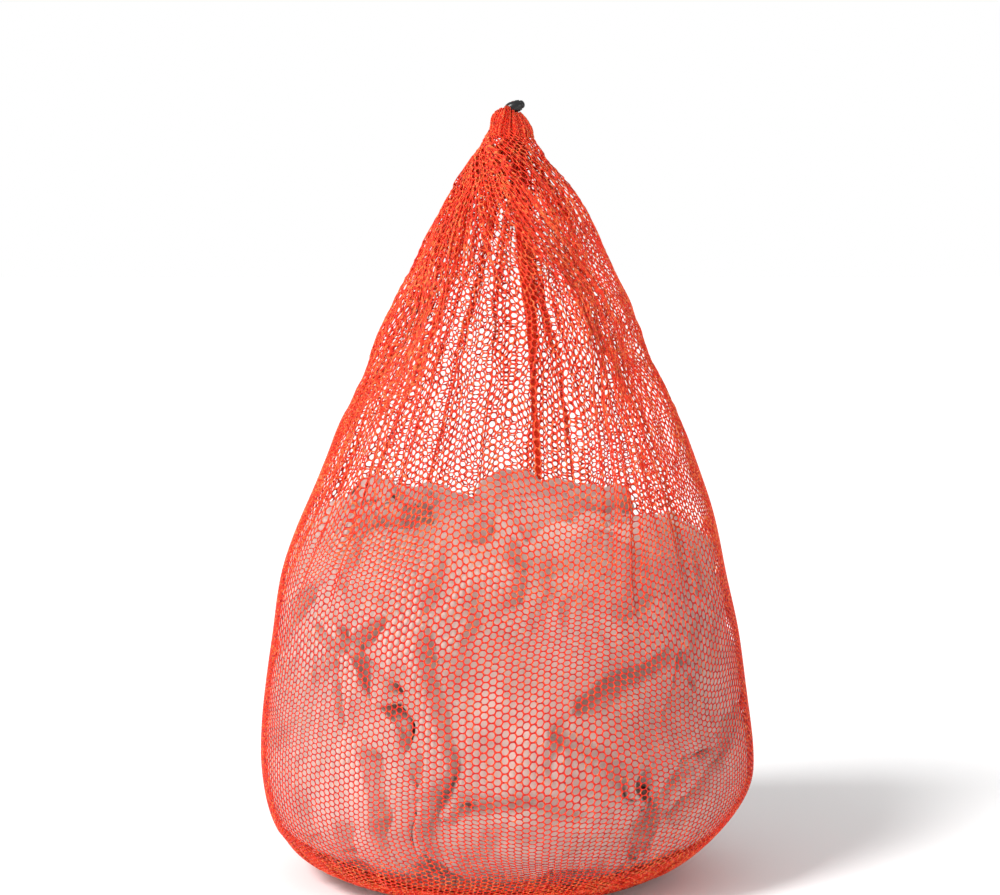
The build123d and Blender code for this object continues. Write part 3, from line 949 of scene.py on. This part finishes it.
def mouth_core_piece():
    """The hem's gathers as a solid ring, with the opening down its middle."""
    turn = np.linspace(0, 2 * pi, 700, endpoint=False)
    outside = mouth_place(turn, np.linspace(0, 1, 46)[:, None], 0.0)
    depth = np.linspace(0, 1, 10)[1:-1, None]
    inside = around(MOUTH_RADIUS, turn, MOUTH_TOP - MOUTH_DEPTH * depth)
    return grid_mesh("mouth_hem_gathers", np.concatenate([outside, inside]))


def on_mouth(flat):
    turn = flat[:, 0] / (MOUTH_COLUMNS * COLUMN_STEP) * 2 * pi
    part = np.clip(flat[:, 1] / (MOUTH_ROWS * ROW_STEP), 0, 1) * 0.93
    part = part + 0.02 * noise(np.column_stack([flat * 160, 0 * part]))
    return mouth_place(turn, part, 0.0007), unit(around(1, turn, 0.3 + 1.2 * part))


def mouth_net_piece():
    """The net's last rows, gathered over the hem."""
    centres = cell_centres(np.arange(MOUTH_COLUMNS), np.arange(MOUTH_ROWS))
    return strands(centres, on_mouth, 0.8, "mouth_hem_net")


# ---------------- materials
def material(name, colour, roughness, **sockets):
    """A Principled material, and its shader node."""
    made = bpy.data.materials.new(name)
    made.use_nodes = True
    shader = made.node_tree.nodes["Principled BSDF"]
    shader.inputs["Base Color"].default_value = (*colour, 1)
    shader.inputs["Roughness"].default_value = roughness
    for socket, value in sockets.items():
        shader.inputs[socket.replace("_", " ")].default_value = value
    return made, shader


def node(made, kind, **inputs):
    """A node of the material, with these inputs set or, given another node's output, linked."""
    new = made.node_tree.nodes.new(kind)
    for name, value in inputs.items():
        socket = new.inputs[name.replace("_", " ")]
        if isinstance(value, bpy.types.NodeSocket):
            made.node_tree.links.new(value, socket)
        else:
            socket.default_value = value
    return new


def link(made, source, socket):
    made.node_tree.links.new(source, socket)


def places(made, scale):
    """Object coordinates, scaled."""
    own = node(made, "ShaderNodeTexCoord").outputs["Object"]
    return node(made, "ShaderNodeMapping", Vector=own, Scale=scale).outputs["Vector"]


def crossed(made, first, second, operation):
    """Two waves combined, as the threads of a weave or a braid are."""
    both = node(made, "ShaderNodeMath")
    both.operation = operation
    link(made, first, both.inputs[0])
    link(made, second, both.inputs[1])
    return both.outputs[0]


def rough_range(made, shader, source, low, high):
    spread = node(made, "ShaderNodeMapRange", Value=source, To_Min=low, To_Max=high)
    link(made, spread.outputs["Result"], shader.inputs["Roughness"])


def raised(made, shader, source, strength, distance):
    lifted = node(made, "ShaderNodeBump", Height=source, Strength=strength, Distance=distance)
    link(made, lifted.outputs["Normal"], shader.inputs["Normal"])


def yarn_material(name, colour, pitch=0.0011, glow=0.0016):
    """Twisted polyester yarn: fine slanted filaments, a little uneven in gloss."""
    fuzz = {"Sheen_Weight": 0.05, "Sheen_Roughness": 0.4, "Subsurface_Weight": 0.6}
    made, shader = material(name, colour, 0.5, Specular_IOR_Level=0.30, **fuzz)
    shader.inputs["Subsurface Radius"].default_value = (1.0, 0.35, 0.2)
    shader.inputs["Subsurface Scale"].default_value = glow
    vector = places(made, (1, 1, 0.8))
    twist = node(made, "ShaderNodeTexWave", Vector=vector, Scale=0.314 / pitch, Distortion=2.5, Detail=2.0)
    speckle = node(made, "ShaderNodeTexNoise", Vector=vector, Scale=900.0, Detail=2.0)
    rough_range(made, shader, speckle.outputs["Fac"], 0.36, 0.66)
    raised(made, shader, twist.outputs["Fac"], 0.7, 0.0004)
    return made


def cotton_material(name, light, dark):
    """Soft washed cotton: a plain weave, fuzz, and tone that drifts from patch to patch."""
    fuzz = {"Sheen_Weight": 0.35, "Sheen_Roughness": 0.6}
    made, shader = material(name, light, 0.9, Specular_IOR_Level=0.25, **fuzz)
    vector = places(made, (1, 1, 1))
    drift = node(made, "ShaderNodeTexNoise", Vector=vector, Scale=9.0, Detail=5.0, Roughness=0.6)
    ramp = made.node_tree.nodes.new("ShaderNodeValToRGB")
    for stop, position, colour in zip(ramp.color_ramp.elements, (0.32, 0.68), (dark, light)):
        stop.position = position
        stop.color = (*colour, 1)
    link(made, drift.outputs["Fac"], ramp.inputs["Fac"])
    link(made, ramp.outputs["Color"], shader.inputs["Base Color"])
    warp = node(made, "ShaderNodeTexWave", Vector=vector, Scale=314.0, Distortion=1.2, Detail=1.0)
    weft = node(made, "ShaderNodeTexWave", Vector=vector, Scale=314.0, Distortion=1.2, Detail=1.0)
    weft.bands_direction = "Z"
    weave = crossed(made, warp.outputs["Fac"], weft.outputs["Fac"], "MULTIPLY")
    rough_range(made, shader, drift.outputs["Fac"], 0.78, 0.98)
    raised(made, shader, weave, 0.5, 0.0004)
    return made


def plastic_material(name, colour):
    """Moulded black nylon: glossy, with a faint grain and dull patches from handling."""
    made, shader = material(name, colour, 0.22, Specular_IOR_Level=0.32)
    vector = places(made, (1, 1, 1))
    grain = node(made, "ShaderNodeTexNoise", Vector=vector, Scale=2600.0, Detail=2.0)
    worn = node(made, "ShaderNodeTexNoise", Vector=vector, Scale=160.0, Detail=4.0)
    rough_range(made, shader, worn.outputs["Fac"], 0.14, 0.42)
    raised(made, shader, grain.outputs["Fac"], 0.12, 0.00005)
    return made


def braid_material(name, colour):
    """A braided cord's crossing strands."""
    fuzz = {"Sheen_Weight": 0.2, "Sheen_Roughness": 0.4}
    made, shader = material(name, colour, 0.55, Specular_IOR_Level=0.3, **fuzz)
    waves = []
    for direction in ("X", "Z"):
        wave = node(made, "ShaderNodeTexWave", Vector=places(made, (1, 1, 1)), Scale=330.0, Distortion=0.8)
        wave.bands_direction = direction
        waves.append(wave.outputs["Fac"])
    braid = crossed(made, *waves, "MAXIMUM")
    rough_range(made, shader, braid, 0.45, 0.75)
    raised(made, shader, braid, 0.8, 0.0003)
    return made


def steel_material(name, colour):
    """Drawn spring wire."""
    made, shader = material(name, colour, 0.3, Metallic=1.0)
    drawn = node(made, "ShaderNodeTexNoise", Vector=places(made, (900, 900, 4000)), Scale=1.0, Detail=2.0)
    rough_range(made, shader, drawn.outputs["Fac"], 0.2, 0.42)
    raised(made, shader, drawn.outputs["Fac"], 0.2, 0.00003)
    return made


# The net's own red, a lighter copy of it that is painted highlight, and a darker copy that is painted shade
YARNS = (
    yarn_material("net_yarn", (0.88, 0.040, 0.008)),
    yarn_material("net_yarn_painted_highlight", (1.0, 0.170, 0.042)),
    yarn_material("net_yarn_painted_shade", (0.52, 0.012, 0.010)),
)
BINDING = yarn_material("seam_binding_thread", (1.0, 0.065, 0.012), pitch=0.0032, glow=0.006)
GATHERS = yarn_material("gathered_net", (0.80, 0.022, 0.005), pitch=0.0020)
COTTON = cotton_material("load_cotton", (0.70, 0.55, 0.49), (0.50, 0.36, 0.31))
PLASTIC = plastic_material("lock_plastic", (0.012, 0.012, 0.013))
CORD = braid_material("drawcord_braid", (0.20, 0.006, 0.008))
STEEL = steel_material("spring_wire", (0.55, 0.55, 0.57))


def dress(piece, *made):
    for one in made:
        piece.data.materials.append(one)


def dress_node(name, made):
    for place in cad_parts[name].material_slots:
        place.link = "OBJECT"
        place.material = made


def place_piece(piece, body, stands_for, slot, *made):
    dress(piece, *made)
    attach(piece, body)
    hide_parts(stands_for)
    return piece


def net_pieces():
    """The net, its seams and its gathered mouth."""
    wall = [place_piece(piece, "bag", "net_wall", "orange_net", *YARNS) for piece in net_wall_pieces()]
    base = place_piece(net_base_piece(), "bag", "net_base", "orange_net", *YARNS)
    side_band = place_piece(side_seam_piece(), "bag", "side_seam", "seam_binding", BINDING)
    base_band = place_piece(base_seam_piece(), "bag", "base_seam", "seam_binding", BINDING)
    turned_in = place_piece(seam_net_piece(), "bag", "base_seam", "orange_net", *YARNS)
    gathers = place_piece(mouth_core_piece(), "bag", "mouth_hem", "orange_net", GATHERS)
    hem = place_piece(mouth_net_piece(), "bag", "mouth_hem", "orange_net", *YARNS)


def cloth(piece, stands_for):
    place_piece(piece, "bag", stands_for, "load_cloth", COTTON)


def spring_piece():
    """The lock's spring, which shortens towards its closed end as the button is pressed."""
    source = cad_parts["lock_spring"]
    coil = in_scene(bpy.data.objects.new("lock_spring_coil", source.data.copy()))
    coil.matrix_world = source.matrix_world
    coil.data.materials.clear()
    place_piece(coil, "lock", "lock_spring", "spring_steel", STEEL)
    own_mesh(coil)


net_pieces()
for name, first, last, top in BUNDLES:
    cloth(bundle_piece(name, first, last, top), name)
cloth(core_piece(), "cloth_middle")
cloth(base_cloth_piece(), "cloth_base")
dress_node("lock_barrel", PLASTIC)
dress_node("lock_button", PLASTIC)
dress_node("drawcord", CORD)
spring_piece()


# ---------------- stage
FIELD = 0.986  # width of the view at the bag
LENS = 110.0
SENSOR = 36.0
LOOK_DOWN = 6.0 * pi / 180
LOOK_AT = Vector((-0.011, 0, 0.424))
FLOOR_REACH = 12.0
PAPER = (0.97, 0.97, 0.97)
AROUND = 0.62  # light from all round; the camera sees plain white
LIT = Vector((0, 0, 0.35))  # what the lights point at
LIGHTS = (  # name, kind, place, size (the sun's in radians), power
    ("sky", "SUN", (-2.0, -1.8, 3.0), 0.30, 2.6),
    ("key", "AREA", (-1.8, -2.0, 1.3), 1.0, 25),
    ("fill", "AREA", (1.8, -2.0, 0.9), 1.2, 12),
)


def put_camera():
    distance = FIELD * LENS / SENSOR
    camera = in_scene(bpy.data.objects.new("camera", bpy.data.cameras.new("camera")))
    camera.data.lens = LENS
    camera.data.sensor_width = SENSOR
    camera.location = LOOK_AT + Vector((0, -np.cos(LOOK_DOWN), np.sin(LOOK_DOWN))) * distance
    camera.rotation_euler = (pi / 2 - LOOK_DOWN, 0, 0)
    bpy.context.scene.camera = camera


def put_floor():
    mesh = bpy.data.meshes.new("floor")
    corners = [(x * FLOOR_REACH, y * FLOOR_REACH, 0) for x, y in ((-1, -1), (1, -1), (1, 1), (-1, 1))]
    mesh.from_pydata(corners, [], [(0, 1, 2, 3)])
    floor = in_scene(bpy.data.objects.new("floor", mesh))
    dress(floor, material("floor_paper", PAPER, 0.8)[0])


def light_all_round():
    """Even light from everywhere, with plain white behind the bag for the camera."""
    world = bpy.data.worlds.new("studio")
    bpy.context.scene.world = world
    world.use_nodes = True
    nodes, links = world.node_tree.nodes, world.node_tree.links
    even = nodes["Background"]
    even.inputs["Strength"].default_value = AROUND
    seen = nodes.new("ShaderNodeBackground")
    for background in (even, seen):
        background.inputs["Color"].default_value = (1, 1, 1, 1)
    both = nodes.new("ShaderNodeMixShader")
    links.new(nodes.new("ShaderNodeLightPath").outputs["Is Camera Ray"], both.inputs["Fac"])
    links.new(even.outputs["Background"], both.inputs[1])
    links.new(seen.outputs["Background"], both.inputs[2])
    links.new(both.outputs["Shader"], nodes["World Output"].inputs["Surface"])


def put_lights():
    for name, kind, place, size, power in LIGHTS:
        light = in_scene(bpy.data.objects.new(name, bpy.data.lights.new(name, kind)))
        light.data.energy = power
        light.location = place
        light.rotation_euler = (LIT - light.location).to_track_quat("-Z", "Y").to_euler()
        if kind == "SUN":
            light.data.angle = size
        else:
            light.data.size = size


put_camera()
put_floor()
light_all_round()
put_lights()
bpy.context.scene.view_settings.view_transform = "Standard"
